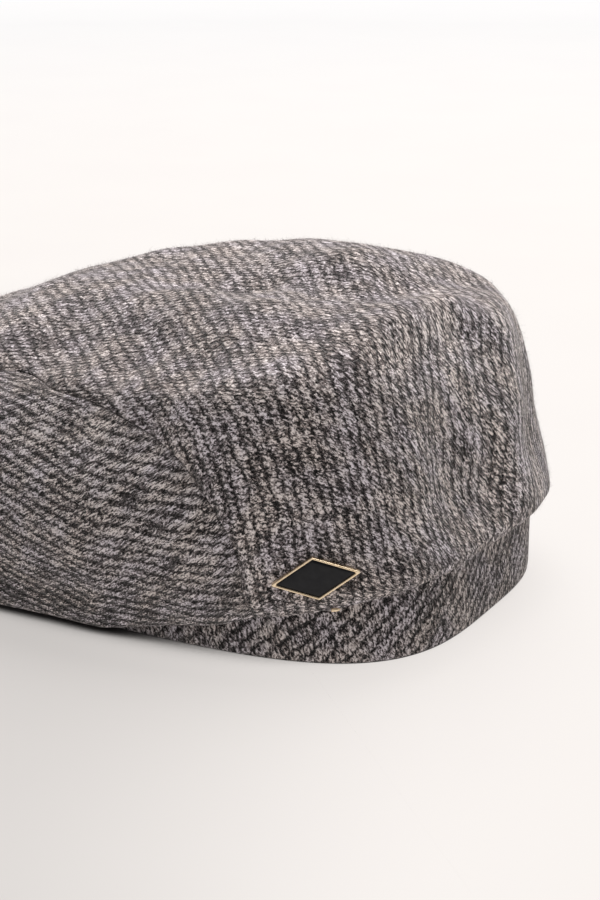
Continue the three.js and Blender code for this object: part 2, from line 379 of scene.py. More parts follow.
class Value:
    """A number in a shader. Arithmetic on it adds Math nodes."""

    def __init__(self, shader: "Shader", socket: bpy.types.NodeSocket) -> None:
        """Wraps an output socket."""
        self.shader = shader
        self.socket = socket

    def math(self, operation: str, *others: Number) -> "Value":
        """Adds a Math node on this value and others and gives its result."""
        return self.shader.math(operation, self, *others)

    def __add__(self, other: Number) -> "Value":
        """The sum."""
        return self.math("ADD", other)

    __radd__ = __add__

    def __sub__(self, other: Number) -> "Value":
        """The difference."""
        return self.math("SUBTRACT", other)

    def __rsub__(self, other: Number) -> "Value":
        """The difference from a plain number."""
        return self.shader.math("SUBTRACT", other, self)

    def __mul__(self, other: Number) -> "Value":
        """The product."""
        return self.math("MULTIPLY", other)

    def __truediv__(self, other: Number) -> "Value":
        """The quotient."""
        return self.math("DIVIDE", other)

    def __pow__(self, other: Number) -> "Value":
        """The power."""
        return self.math("POWER", other)

    def fraction(self) -> "Value":
        """What is left over the whole number below."""
        return self.math("FRACT")

    def whole(self) -> "Value":
        """The whole number below."""
        return self.math("FLOOR")

    def hump(self) -> "Value":
        """A hump from nothing at 0 over one at a half to nothing at 1."""
        return (self * math.pi).math("SINE")

    def between(self, low: float, high: float) -> "Value":
        """Zero below low, one above high and smooth between."""
        made = self.shader.node(
            "ShaderNodeMapRange",
            {"interpolation_type": "SMOOTHSTEP"},
            {"Value": self, "From Min": low, "From Max": high},
        )
        return Value(self.shader, made.outputs["Result"])


class Shader:
    """The node tree of one material."""

    def __init__(self, name: str) -> None:
        """Makes an empty material with that name."""
        self.material = bpy.data.materials.new(name)
        self.material.use_nodes = True
        self.tree = self.material.node_tree
        self.tree.nodes.clear()

    def node(self, kind: str, settings: Settings, sockets: Sockets) -> bpy.types.Node:
        """Adds one node.

        Args:
            kind: The node's type.
            settings: Its settings, which are set first; stops are those of its colour ramp.
            sockets: The value or the link of each input, by name or number.

        Returns:
            The node.
        """
        made = self.tree.nodes.new(kind)
        for name, value in settings.items():
            if name == "stops":
                self._set_stops(made.color_ramp, value)
            else:
                setattr(made, name, value)
        for name, value in sockets.items():
            if isinstance(value, Value):
                value = value.socket
            if isinstance(value, bpy.types.NodeSocket):
                self.tree.links.new(value, made.inputs[name])
            else:
                made.inputs[name].default_value = value
        return made

    @staticmethod
    def _set_stops(ramp: bpy.types.ColorRamp, stops: Stops) -> None:
        """Gives a colour ramp its stops."""
        while len(ramp.elements) < len(stops):
            ramp.elements.new(1.0)
        for element, (place, colour) in zip(ramp.elements, stops):
            element.position = place
            element.color = (*colour, 1.0)

    def math(self, operation: str, *values: Number) -> Value:
        """Adds a Math node on values and gives its result."""
        made = self.node("ShaderNodeMath", {"operation": operation}, dict(enumerate(values)))
        return Value(self, made.outputs[0])

    def weave(self) -> tuple[Value, Value]:
        """Where a point lies on the flat cloth: across the wales and along them, in millimetres.

        Returns:
            The place across the wales and the place along them.
        """
        place = self.node("ShaderNodeUVMap", {"uv_map": "weave"}, {})
        parts = self.node("ShaderNodeSeparateXYZ", {}, {0: place.outputs[0]})
        return Value(self, parts.outputs[0]), Value(self, parts.outputs[1])

    def upward_part(self, output: str) -> Value:
        """The upward part of what a Geometry node gives.

        Args:
            output: The node's output, such as True Normal, or Position in metres.

        Returns:
            Its part along Z.
        """
        given = self.node("ShaderNodeNewGeometry", {}, {}).outputs[output]
        parts = self.node("ShaderNodeSeparateXYZ", {}, {0: given})
        return Value(self, parts.outputs[2])

    def plane(self, across: Number, along: Number) -> bpy.types.NodeSocket:
        """A vector of two numbers."""
        return self.node("ShaderNodeCombineXYZ", {}, {0: across, 1: along}).outputs[0]

    def noise(self, across: Number, along: Number, detail: float, rough: float = 0.5) -> Value:
        """Smooth noise over a plane, from 0 to 1 with its middle at a half.

        Args:
            across: The first coordinate, in lumps of the noise.
            along: The second coordinate, in lumps of the noise.
            detail: How many finer layers are added.
            rough: How strong the finer layers are.

        Returns:
            The noise.
        """
        made = self.node(
            "ShaderNodeTexNoise",
            {"noise_dimensions": "2D"},
            {"Vector": self.plane(across, along), "Scale": 1.0, "Detail": detail, "Roughness": rough},
        )
        return Value(self, made.outputs[0])

    def chance(self, across: Number, along: Number) -> Value:
        """A random number for each pair of whole numbers.

        Args:
            across: The first number.
            along: The second number.

        Returns:
            The random number, from 0 to 1.
        """
        place = self.plane(across, along)
        made = self.node("ShaderNodeTexWhiteNoise", {"noise_dimensions": "2D"}, {"Vector": place})
        return Value(self, made.outputs["Value"])

    def cell_tone(self, across: Number, along: Number) -> Value:
        """A random number for each cell of a plane that is broken up into uneven cells about one across.

        Args:
            across: The first coordinate.
            along: The second coordinate.

        Returns:
            The random number, from 0 to 1.
        """
        made = self.node(
            "ShaderNodeTexVoronoi",
            {"voronoi_dimensions": "2D"},
            {"Vector": self.plane(across, along), "Scale": 1.0, "Randomness": 1.0},
        )
        parts = self.node("ShaderNodeSeparateColor", {}, {0: made.outputs["Color"]})
        return Value(self, parts.outputs[0])

    def ramp(self, place: Value, stops: Stops) -> bpy.types.NodeSocket:
        """The colour at a place on a ramp."""
        return self.node("ShaderNodeValToRGB", {"stops": stops}, {0: place}).outputs[0]

    def scaled(self, colour: bpy.types.NodeSocket, share: Value) -> bpy.types.NodeSocket:
        """A colour times a number."""
        made = self.node("ShaderNodeVectorMath", {"operation": "SCALE"}, {0: colour, "Scale": share})
        return made.outputs[0]

    def tinted(self, colour: bpy.types.NodeSocket, cast: bpy.types.NodeSocket) -> bpy.types.NodeSocket:
        """A colour times another colour."""
        made = self.node("ShaderNodeVectorMath", {"operation": "MULTIPLY"}, {0: colour, 1: cast})
        return made.outputs[0]

    def openness(self, reach: float) -> Value:
        """How much of the space over a point is open, out to a distance in metres."""
        made = self.node("ShaderNodeAmbientOcclusion", {"samples": 16}, {"Distance": reach})
        return Value(self, made.outputs["AO"])

    def bump(self, height: Value, distance: float) -> bpy.types.NodeSocket:
        """The normal of a surface with fine relief of that height, in metres at one."""
        made = self.node("ShaderNodeBump", {}, {"Height": height, "Distance": distance, "Strength": 1.0})
        return made.outputs[0]

    def surface(self, sockets: Sockets) -> bpy.types.Material:
        """Ends the tree in a principled surface with those values and links, and gives the material."""
        made = self.node("ShaderNodeBsdfPrincipled", {}, sockets)
        self.node("ShaderNodeOutputMaterial", {}, {"Surface": made.outputs[0]})
        return self.material


@dataclass(frozen=True)
class TwillFinish:
    """Wool twill: ropes of slanting strands side by side, spun from dark and light fibres. Millimetres.

    The shares say how much of a point's tone comes from its place on the rope, from the strand it is on, from
    the fibres of two sizes and from the patches in the wool. Where the cloth faces up the tone evens out
    towards a lighter one, painted light on the top; near the table the hem may get painted shade, and the
    casts are faint hues in the wool.
    """

    name: str
    pitch: float = 3.55
    strand: float = 2.0
    slant: float = 0.62
    stagger: float = 0.37
    jostle: float = 0.9
    wander: float = 1.2
    wander_size: float = 12.0
    fray: float = 0.75
    fray_size: float = 2.2
    fibre_length: float = 0.8
    fibre_width: float = 0.52
    wisp_length: float = 0.437
    wisp_width: float = 0.3306
    wisp_sway: float = 3.0
    patch_size: float = 11.0
    relief: float = 0.8
    fibre_relief: float = 0.3
    wisp_relief: float = 0.2
    shade: float = 1.0
    sheen: float = 0.3
    base_tone: float = 0.02
    rope_rise: float = 0.8
    rope_span: Span = (0.3, 1.25)
    rope_share: float = 0.76
    strand_share: float = 0.65
    spun_share: float = 0.7
    fibre_share: float = 0.8
    wisp_share: float = 0.9
    patch_share: float = 0.5
    top_evening: float = 0.46
    painted_top_tone: float = 0.52
    top_facing_span: Span = (0.3, 0.9)
    hem_shade: float = 0.0
    hem_span: Span = (4.0, 34.0)
    tones: Stops = (
        (0.0, (0.006, 0.005, 0.005)),
        (0.25, (0.040, 0.0325, 0.033)),
        (0.48, (0.150, 0.125, 0.125)),
        (0.72, (0.420, 0.365, 0.365)),
        (1.0, (0.960, 0.885, 0.895)),
    )
    cast_size: float = 14.0
    cast_span: Span = (0.3, 0.7)
    casts: Stops = ((0.0, (0.95, 0.95, 1.0)), (0.5, (0.98, 0.97, 0.955)), (1.0, (1.0, 0.97, 0.915)))

    def material(self) -> bpy.types.Material:
        """Builds the finish as a node tree."""
        shader = Shader(self.name)
        across, along = shader.weave()
        drift = shader.noise(across / self.wander_size, along / self.wander_size, detail=2.0)
        sway = shader.noise(across / self.fray_size, along / self.fray_size, detail=2.0, rough=0.6)
        across = across + (drift - 0.5) * (2.0 * self.wander)
        wale = (across + (sway - 0.5) * (2.0 * self.fray)) / self.pitch
        in_wale = wale.fraction()
        turns = (along + in_wale * (self.slant * self.pitch)) / self.strand
        turns = turns + wale.whole() * self.stagger + sway * self.jostle
        strand = turns.fraction().hump()
        spun = shader.chance(wale.whole(), turns.whole())
        length = math.hypot(1.0, self.slant)
        run = (across - along * self.slant) / length
        cross = (across * self.slant + along) / length
        fibre = shader.cell_tone(run / self.fibre_length, cross / self.fibre_width) - 0.5
        wisp = shader.cell_tone(run / self.wisp_length + sway * self.wisp_sway, cross / self.wisp_width) - 0.5
        patch = shader.noise(across / self.patch_size, along / self.patch_size, detail=3.0, rough=0.6)
        raised = in_wale.hump() * self.rope_rise + strand * self.strand_share + (spun - 0.5) * self.spun_share
        body = raised.between(*self.rope_span)
        tone = self.base_tone + body * self.rope_share
        tone = tone + fibre * self.fibre_share + wisp * self.wisp_share
        tone = tone + (patch - 0.5) * self.patch_share
        # Painted light: where the cloth faces up, its tone evens out towards a lighter top tone.
        kept = 1.0 - shader.upward_part("True Normal").between(*self.top_facing_span) * self.top_evening
        tone = self.painted_top_tone + (tone - self.painted_top_tone) * kept
        # Painted shade: the tone darkens towards the table, where the cloth turns under.
        if self.hem_shade:
            low, high = self.hem_span
            tone = tone - (1.0 - shader.upward_part("Position").between(low * MM, high * MM)) * self.hem_shade
        stops = tuple((place, tuple(self.shade * part for part in tint)) for place, tint in self.tones)
        hue = shader.noise(along / self.cast_size, across / self.cast_size, detail=2.0, rough=0.6)
        cast = shader.ramp(hue.between(*self.cast_span), self.casts)
        height = body + fibre * self.fibre_relief + wisp * self.wisp_relief
        return shader.surface({
            "Base Color": shader.tinted(shader.ramp(tone, stops), cast),
            "Roughness": 0.92,
            "Specular IOR Level": 0.2,
            "Sheen Weight": self.sheen,
            "Sheen Roughness": 0.45,
            "Sheen Tint": (1.0, 0.98, 0.96, 1.0),
            "Normal": shader.bump(height, self.relief * MM),
        })


@dataclass(frozen=True)
class FuzzFinish:
    """Loose wool fibres, each one tone of the cloth's mixture."""

    name: str = "wool_fuzz"
    tones: Stops = ((0.0, (0.05, 0.043, 0.045)), (0.45, (0.18, 0.158, 0.16)), (1.0, (0.62, 0.557, 0.56)))

    def material(self) -> bpy.types.Material:
        """Builds the finish as a node tree."""
        shader = Shader(self.name)
        mixture, _ = shader.weave()
        return shader.surface({
            "Base Color": shader.ramp(mixture, self.tones),
            "Roughness": 0.8,
            "Specular IOR Level": 0.2,
            "Sheen Weight": 0.3,
        })


@dataclass(frozen=True)
class BrassFinish:
    """Thin polished brass with faint rubbing. The scales are lumps or scratches in a millimetre."""

    name: str = "polished_brass"
    tones: Stops = ((0.3, (0.90, 0.70, 0.46)), (0.65, (0.98, 0.80, 0.57)))
    rub_scale: float = 0.9
    scratch_scale: Span = (0.6, 7.0)
    scratch_depth: float = 0.03
    polish: float = 0.2
    rubbing: float = 0.16

    def material(self) -> bpy.types.Material:
        """Builds the finish as a node tree."""
        shader = Shader(self.name)
        across, along = shader.weave()
        rub = shader.noise(across * self.rub_scale, along * self.rub_scale, detail=3.0, rough=0.6)
        wide, fine = self.scratch_scale
        scratch = shader.noise(across * wide, along * fine, detail=2.0, rough=0.6)
        return shader.surface({
            "Base Color": shader.ramp(rub, self.tones),
            "Metallic": 1.0,
            "Roughness": self.polish + rub * self.rubbing,
            "Normal": shader.bump(scratch, self.scratch_depth * MM),
        })


@dataclass(frozen=True)
class EnamelFinish:
    """Hard black enamel poured into the badge. The scales are lumps in a millimetre."""

    name: str = "black_enamel"
    tones: Stops = ((0.3, (0.006, 0.006, 0.008)), (0.7, (0.013, 0.013, 0.015)))
    pool_scale: float = 0.35
    pool_depth: float = 0.05
    haze_scale: float = 2.5
    polish: float = 0.1
    hazing: float = 0.1

    def material(self) -> bpy.types.Material:
        """Builds the finish as a node tree."""
        shader = Shader(self.name)
        across, along = shader.weave()
        pool = shader.noise(across * self.pool_scale, along * self.pool_scale, detail=2.0, rough=0.5)
        haze = shader.noise(across * self.haze_scale, along * self.haze_scale, detail=3.0, rough=0.6)
        return shader.surface({
            "Base Color": shader.ramp(pool, self.tones),
            "Roughness": self.polish + haze * self.hazing,
            "Specular IOR Level": 0.18,
            "Coat Weight": 0.1,
            "Coat Roughness": 0.06,
            "Normal": shader.bump(pool, self.pool_depth * MM),
        })


@dataclass(frozen=True)
class FloorFinish:
    """A pale table with a painted glow from below, which has painted shadow towards the peak and runs out into
    a white background.

    Its painted glow goes out where something lies close over it, a painted contact shadow, within a distance
    in metres. Other lengths are millimetres.
    """

    name: str = "pale_table"
    tones: Stops = ((0.35, (0.096, 0.092, 0.090)), (0.65, (0.100, 0.097, 0.094)))
    glows: Stops = ((0.0, (0.762, 0.726, 0.702)), (0.75, (0.820, 0.812, 0.814)), (1.0, (0.930, 0.920, 0.922)))
    glow_reach: Span = (300.0, 2200.0)
    cloud_size: float = 90.0
    ahead: Span = (-0.878, -0.479)
    lit_aside: Span = (-70.0, 60.0)
    lit_beyond: Span = (150.0, 400.0)
    lit_far: Span = (330.0, 620.0)
    painted_shadow_level: float = 0.72
    close_over: float = 0.07
    open_span: Span = (0.12, 0.42)

    def material(self) -> bpy.types.Material:
        """Builds the finish as a node tree."""
        shader = Shader(self.name)
        across, along = shader.weave()
        cloud = shader.noise(across / self.cloud_size, along / self.cloud_size, detail=3.0, rough=0.5)
        reach = (across * across + along * along) ** 0.5
        beyond = across * self.ahead[0] + along * self.ahead[1]
        aside = across * self.ahead[1] - along * self.ahead[0]
        lit = aside.between(*self.lit_aside)
        lit = lit.math("MAXIMUM", beyond.between(*self.lit_beyond))
        lit = lit.math("MAXIMUM", reach.between(*self.lit_far))
        # Painted shadow of the cap: the glow dims towards the peak outside the lit stretches.
        dim = lit * (1.0 - self.painted_shadow_level) + self.painted_shadow_level
        # Painted contact shadow: the glow goes out where something lies close over the table.
        over = shader.openness(self.close_over).between(*self.open_span)
        glow = shader.ramp(reach.between(*self.glow_reach), self.glows)
        return shader.surface({
            "Base Color": shader.ramp(cloud, self.tones),
            "Roughness": 0.7,
            "Specular IOR Level": 0.2,
            "Emission Color": shader.scaled(glow, over * dim),
            "Emission Strength": 1.0,
        })


@dataclass(frozen=True)
class Section:
    """A level section of the cap: a squared oval with heights of its own at its back, side and front.

    Flare widens it towards the back, hem is how much it follows the hem's climb, and cloth is how thick the
    cloth is there.
    """

    half_width: float
    back: float
    front: float
    square: float
    flare: float
    back_z: float
    side_z: float
    front_z: float
    hem: float
    cloth: float = 2.2

    def ring(self, turn: Array) -> Array:
        """The section's points.

        Args:
            turn: Where round the cap: 0 is the wearer's left and a quarter turn on is the back.

        Returns:
            The points, in millimetres.
        """
        cosine = signed_power(np.cos(turn), TURN_SQUARE / 2)
        sine = signed_power(np.sin(turn), TURN_SQUARE / 2)
        length = np.hypot(cosine, sine)
        across = signed_power(cosine / length, 2 / self.square)
        along = signed_power(sine / length, 2 / self.square)
        even = 1 - self.hem
        back_share = self.hem * np.maximum(along, 0) ** BACK_CLIMB + even * (along**2 + along) / 2
        front_share = self.hem * np.maximum(-along, 0) ** FRONT_CLIMB + even * (along**2 - along) / 2
        x = self.half_width * across * (1 + self.flare * along)
        y = np.where(along > 0, self.back, self.front) * along
        climb = (self.back_z - self.side_z) * back_share + (self.front_z - self.side_z) * front_share
        return np.stack([x, y, self.side_z + climb], axis=-1)

    def inset(self, depth: float, lift: float = 0.0) -> "Section":
        """The same section a distance further in, and higher."""
        return replace(
            self,
            half_width=self.half_width - depth,
            back=self.back - depth,
            front=self.front - depth,
            back_z=self.back_z + lift,
            side_z=self.side_z + lift,
            front_z=self.front_z + lift,
        )


@dataclass(frozen=True)
class Fold:
    """A soft fold or dent: a curve through points, how wide it is and how far out its middle stands."""

    through: tuple[tuple[float, float, float], ...]
    width: float
    depth: float
    paired: bool = False

    def depth_at(self, points: Array) -> Array:
        """How far the fold moves the cloth out at points.

        Args:
            points: Points of the smooth crown.

        Returns:
            The distances, in the shape of the grid of points.
        """
        sides = (1.0, -1.0) if self.paired else (1.0,)
        total = np.zeros(points.shape[:-1])
        for side in sides:
            path = spline([(side * x, y, z) for x, y, z in self.through], 6)
            total += self.depth * soft_dip(path_distance(points, path), self.width)
        return total


@dataclass
class CrownForm:
    """The crown's surface from its turned-under hem to the middle of the roof, and how its cloth lies there.

    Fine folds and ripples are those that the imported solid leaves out. The wales cross the roof at wale_turn,
    lean on the wall, and turn upright low down. Lengths are millimetres.
    """

    sections: tuple[Section, ...] = (
        Section(66.5, 91.5, 141, 3.5, 0.00, 28.0, 11.0, 20.0, 1.0, 1.0),
        Section(70.0, 93.8, 148, 3.3, 0.00, 24.2, 2.9, 15.4, 1.0, 1.0),
        Section(74.5, 95.8, 153, 3.2, 0.00, 26.4, 4.7, 17.0, 1.0, 1.5),
        Section(79.0, 96.5, 154, 3.1, 0.00, 30.1, 17.0, 24.0, 0.7),
        Section(81.0, 91.0, 150, 3.0, 0.03, 44.1, 37.0, 34.0, 0.2),
        Section(77.5, 87.0, 140, 2.9, 0.08, 63.4, 57.0, 48.0, 0.0),
        Section(72.7, 78.6, 119, 2.8, 0.13, 84.8, 76.8, 62.2, 0.0),
        Section(55.4, 58.4, 83, 2.6, 0.12, 94.4, 89.2, 75.9, 0.0),
        Section(31.5, 31.5, 42, 2.4, 0.08, 98.1, 95.5, 90.5, 0.0),
        Section(0.0, 0.0, 0.0, 2.0, 0.00, 93.3, 93.3, 93.3, 0.0),
    )
    folds: tuple[Fold, ...] = (
        Fold(((18, 14, 93), (8, 51, 95), (-45, 62, 89)), 11, -4),
        Fold(((-22, -18, 90), (-24, 6, 93), (-20, 34, 94)), 15, 2),
        Fold(((66, 24, 88), (61, 1, 88), (56, -22, 87)), 24, -9),
        Fold(((55, 58, 88), (57, 58, 88)), 18, -2),
        Fold(((25, 80, 85), (27, 80, 85)), 18, 2.5),
        Fold(((80, 0, 38), (80, -12, 36), (80, -24, 34)), 22, 3, True),
        Fold(((73, 62, 30), (69, 68, 30.5), (65, 74, 31)), 10, -1),
    )
    fine_folds: tuple[Fold, ...] = (
        Fold(((29, 24, 96), (16, 39, 94), (-9, 52, 92.5)), 8, -2.2),
        Fold(((14, -6, 92.5), (8, 14, 94.5), (2, 36, 96)), 10, -4.5),
        Fold(((34, 67, 89.5), (16, 71, 90), (-4, 72, 89.5)), 8, 2.5),
        Fold(((71, 30, 75), (58, 57, 85), (28, 68, 90), (-6, 70, 89.5)), 9, 2),
        Fold(((78, -36, 17), (79, -5, 15), (78, 22, 13)), 10, -2),
        Fold(((32, 78, 87), (18, 79.5, 86.5), (4, 78, 86)), 9, -3),
        Fold(((28, 79, 84), (25, 85.5, 66), (22, 89, 46)), 14, -3),
        Fold(((-20, 82, 78), (-14, 88, 60), (-11, 92, 42)), 12, 3),
        Fold(((44, -42, 76), (46, -26, 77.5), (50, -8, 79)), 8, 2.5),
        Fold(((61, -42, 60), (67, -24, 60), (72, -8, 59)), 10, -1.5),
    )
    seam_line: tuple[tuple[float, float], ...] = (
        (50, 0), (49, 18), (46, 39), (31.5, 56.7), (11, 67), (-16, 70.5),
        (-40, 72), (-75, 64.5), (-110, 45), (-134, 22), (-143, 0),
    )
    seam_dip: float = 2.0
    seam_width: float = 8.0
    groove: float = 0.5
    groove_width: float = 1.3
    groove_levels: float = 2.0
    hem_levels: float = 3.0
    shoulder_level: int = 6
    rows_per_span: tuple[int, ...] = (5, 5, 7, 11, 12, 14, 18, 18, 20)
    columns: int = 440
    ripple: float = 0.35
    ripple_seed: int = 11
    ripple_count: int = 14
    ripple_length: Span = (16, 46)
    under_table: float = -60.0
    wale_turn: float = 45.0
    wall_lean: float = 0.17
    lean_power: int = 5
    wall_spread: float = 0.4
    turn_in: float = 12.0
    far_side: Span = (0.84, 1.31)
    upright: float = 0.4
    upright_under: float = 34.0
    gusset_lean: float = 0.32
    gusset_crowding: float = 1.18
    gusset_shear: float = 0.35

    def levels(self) -> Array:
        """The levels of the fine grid's rows, up to just short of the middle of the roof."""
        spans = [span + np.arange(rows) / rows for span, rows in enumerate(self.rows_per_span)]
        return np.concatenate(spans)

    def turns(self) -> Array:
        """The turns of the fine grid's columns."""
        return full_turn(self.columns)

    def loft(self, levels: Array, turns: Array) -> Array:
        """The smooth crown without its folds.

        Args:
            levels: Which section, and how far on to the next.
            turns: Where round the cap.

        Returns:
            A grid of points, a row for each level.
        """
        rings = [section.ring(turns) for section in self.sections]
        rings.append(self.sections[-2].ring(turns + math.pi))
        rings.insert(0, 2 * rings[0] - rings[1])
        stack = np.stack(rings)
        low = np.minimum(np.floor(levels).astype(int), len(self.sections) - 1)
        share = (levels - low)[:, None, None]
        after = np.minimum(low + 3, len(stack) - 1)
        return hermite(stack[low], stack[low + 1], stack[low + 2], stack[after], share)

    def seam_path(self) -> Array:
        """The side seam as it is seen from the side."""
        return spline(self.seam_line, 8)

    def gusset_depth(self, points: Array) -> Array:
        """How far under the side seam points lie, and above it if negative.

        Args:
            points: Points of the crown.

        Returns:
            The distances as they are seen from the side.
        """
        path = self.seam_path()
        side_view = points[..., 1:]
        distance = path_distance(side_view, path)
        inside = np.zeros(distance.shape, bool)
        loop = np.concatenate([path, [[path[-1, 0], self.under_table], [path[0, 0], self.under_table]]])
        y, z = side_view[..., 0], side_view[..., 1]
        for (y0, z0), (y1, z1) in zip(loop, np.roll(loop, -1, 0)):
            if z0 == z1:
                continue
            spans = (z0 > z) != (z1 > z)
            inside ^= spans & (y < (y1 - y0) * (z - z0) / (z1 - z0) + y0)
        return np.where(inside, distance, -distance)

    def fold_depth(self, points: Array) -> Array:
        """How far the folds and the sewn seam move the cloth out.

        Args:
            points: Points of the smooth crown.

        Returns:
            The distances.
        """
        seam = path_distance(points[..., 1:], self.seam_path())
        total = -self.seam_dip * soft_dip(seam, self.seam_width)
        for fold in (*self.folds, *self.fine_folds):
            total = total + fold.depth_at(points)
        return total

    def ripples(self, points: Array) -> Array:
        """Small uneven swells of limp cloth.

        Args:
            points: Points of the smooth crown.

        Returns:
            How far they move the cloth out.
        """
        random = np.random.default_rng(self.ripple_seed)
        total = np.zeros(points.shape[:-1])
        for _ in range(self.ripple_count):
            wave = unit(random.normal(size=3)) * (2 * math.pi / random.uniform(*self.ripple_length))
            total += np.sin(points @ wave + random.uniform(0, 2 * math.pi))
        return total * (self.ripple / math.sqrt(self.ripple_count / 2))

    def surface(self, levels: Array, turns: Array, closed: bool = True) -> tuple[Array, Array]:
        """The crown with its folds.

        Args:
            levels: Which section, and how far on to the next.
            turns: Where round the cap.
            closed: Whether the turns go all the way round.

        Returns:
            The grid of points and the grid of outward normals.
        """
        smooth = self.loft(levels, turns)
        fade = smoothstep(levels, 0.0, self.hem_levels)[:, None]
        depth = (self.fold_depth(smooth) + self.ripples(smooth)) * fade
        points = smooth + grid_normals(smooth, closed) * depth[..., None]
        return points, grid_normals(points, closed)

    def cloth_at(self, levels: Array) -> Array:
        """How thick the cloth is at levels."""
        return np.interp(levels, np.arange(len(self.sections)), [s.cloth for s in self.sections])

    def crown_weave(self, levels: Array, turns: Array) -> Array:
        """Where the crown's cloth lay when it was flat.

        The wales cross the roof at one slant, run over the shoulder and down the wall, where they turn to
        stand nearly upright.

        Args:
            levels: The grid's levels, with the shoulder's level among them.
            turns: The grid's turns.

        Returns:
            A grid of places across and along the wales, in millimetres.
        """
        smooth = self.loft(levels, turns)
        angle = math.radians(self.wale_turn)
        along_wale = np.array([math.cos(angle), math.sin(angle), 0.0])
        across_wale = np.array([math.sin(angle), -math.cos(angle), 0.0])
        rim = self.loft(np.array([float(self.shoulder_level)]), turns)[0]
        tangent = np.roll(rim, -1, 0) - np.roll(rim, 1, 0)
        facing = np.arctan2(-tangent[:, 0], tangent[:, 1]) - angle
        facing = (facing + math.pi) % (2 * math.pi) - math.pi
        far = smoothstep(facing, *self.far_side)
        climb = run_from_first(smooth)
        row = int(np.argmin(np.abs(levels - self.shoulder_level)))
        drop = np.maximum(climb[row] - climb, 0.0)
        roof_lean = -np.sin(facing)
        wall_lean = self.wall_lean * np.cos(facing) - (1 - far) * np.sin(facing) ** self.lean_power
        wall_lean = wall_lean - far * np.sin(facing)
        bend = self.turn_in * (1 - np.exp(-drop / self.turn_in))
        top = np.where((levels >= self.shoulder_level)[:, None, None], smooth, rim[None])
        across = top @ across_wale + wall_lean * drop + (roof_lean - wall_lean) * bend
        low = np.maximum(drop - self.upright_under, 0.0)
        across = across - self.upright * np.maximum(np.cos(facing), 0.0) * low**2 / (low + self.turn_in)
        spread = 1 + self.wall_spread - self.wall_spread * np.cos(facing) ** 2
        along = top @ along_wale + np.cos(facing) * spread * drop
        return np.stack([across, along], axis=-1)

    def gusset_weave(self, levels: Array, turns: Array) -> Array:
        """Where a side panel's cloth lay when it was flat: its wales run nearly level along the cap.

        Args:
            levels: The grid's levels.
            turns: The grid's turns.

        Returns:
            A grid of places across and along the wales, in millimetres.
        """
        smooth = self.loft(levels, turns)
        climb = run_from_first(smooth)
        across = climb + self.gusset_lean * smooth[..., 1]
        along = self.gusset_lean * climb - smooth[..., 1] + self.gusset_shear * across
        return np.stack([across, along], axis=-1) * self.gusset_crowding

    def seat(self, level: float, turn: float, roll: float, lift: float) -> Matrix:
        """A place on the crown's cloth.

        Args:
            level: The place's level.
            turn: Its turn, in degrees.
            roll: How far what sits there is rolled, in degrees.
            lift: How far it stands off the cloth.

        Returns:
            The place, with +Z out of the cloth, in millimetres.
        """
        nudge = 0.02
        levels = level + np.array([-nudge, 0.0, nudge])
        turns = math.radians(turn) + np.array([-nudge, 0.0, nudge])
        points, normals = self.surface(levels, turns, closed=False)
        out = Vector(normals[1, 1])
        along = Vector((0, 0, 1)).cross(out).normalized()
        axes = Matrix((along, out.cross(along), out)).transposed().to_4x4()
        place = Vector(points[1, 1]) + out * lift
        return Matrix.Translation(place) @ axes @ Matrix.Rotation(math.radians(roll), 4, "Z")


@dataclass
class CrownPanels:
    """The cloth panels of the crown: one over top and back, and a gusset under the seam on each side."""

    form: CrownForm
    finish: TwillFinish
    gusset_finish: TwillFinish
    seam_gap: float = 0.15
    off_middle: float = 5.0

    def whole(self, weave: Array) -> tuple[Patch, Array]:
        """The whole crown as one sheet, and how far under the seam each of its points lies.

        Args:
            weave: Where each point of its grid lay on the flat cloth.

        Returns:
            The sheet and the depths.
        """
        levels, turns = self.form.levels(), self.form.turns()
        points, normals = self.form.surface(levels, turns)
        depth = self.form.gusset_depth(points)
        groove = self.form.groove * soft_dip(depth, self.form.groove_width)
        groove = groove * smoothstep(levels, 0.0, self.form.groove_levels)[:, None]
        points = points - normals * groove[..., None]
        cloth = np.broadcast_to(self.form.cloth_at(levels)[:, None], points.shape[:-1])
        triangles = grid_triangles(len(levels), len(turns), True)
        middle = points[-1].mean(axis=0)
        last = (len(levels) - 1) * len(turns) + np.arange(len(turns))
        pole = np.full(len(turns), len(levels) * len(turns))
        fan = np.stack([last, np.roll(last, -1), pole], 1)
        sheet = Patch(
            np.concatenate([points.reshape(-1, 3), [middle]]),
            np.concatenate([normals.reshape(-1, 3), [(0.0, 0.0, 1.0)]]),
            np.concatenate([weave.reshape(-1, 2), [weave[-1].mean(axis=0)]]),
            np.concatenate([cloth.ravel(), [self.form.sections[-1].cloth]]),
            np.concatenate([triangles, fan]),
        )
        return sheet, np.concatenate([depth.ravel(), [OUTSIDE]])

    def build(self) -> None:
        """Makes and dresses the three panels."""
        levels, turns = self.form.levels(), self.form.turns()
        material = self.finish.material()
        sheet, depth = self.whole(self.form.crown_weave(levels, turns))
        self.panel("crown_panel", sheet.trimmed(-depth, self.seam_gap), material)
        material = self.gusset_finish.material()
        sheet, depth = self.whole(self.form.gusset_weave(levels, turns))
        for name, side in (("side_panel_left", Side.LEFT), ("side_panel_right", Side.RIGHT)):
            on_side = np.where(sheet.points[:, 0] * side.value > self.off_middle, depth, OUTSIDE)
            self.panel(name, sheet.trimmed(on_side, self.seam_gap), material)

    def panel(self, node: str, sheet: Patch, material: bpy.types.Material) -> None:
        """Makes one panel with its thickness.

        Args:
            node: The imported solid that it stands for.
            sheet: Its outer face.
            material: Its finish.
        """
        cloth = sheet.shell()
        piece = Piece(f"{node}_cloth", cloth.points, cloth.triangles, cloth.weave)
        piece.dress(material, [node])


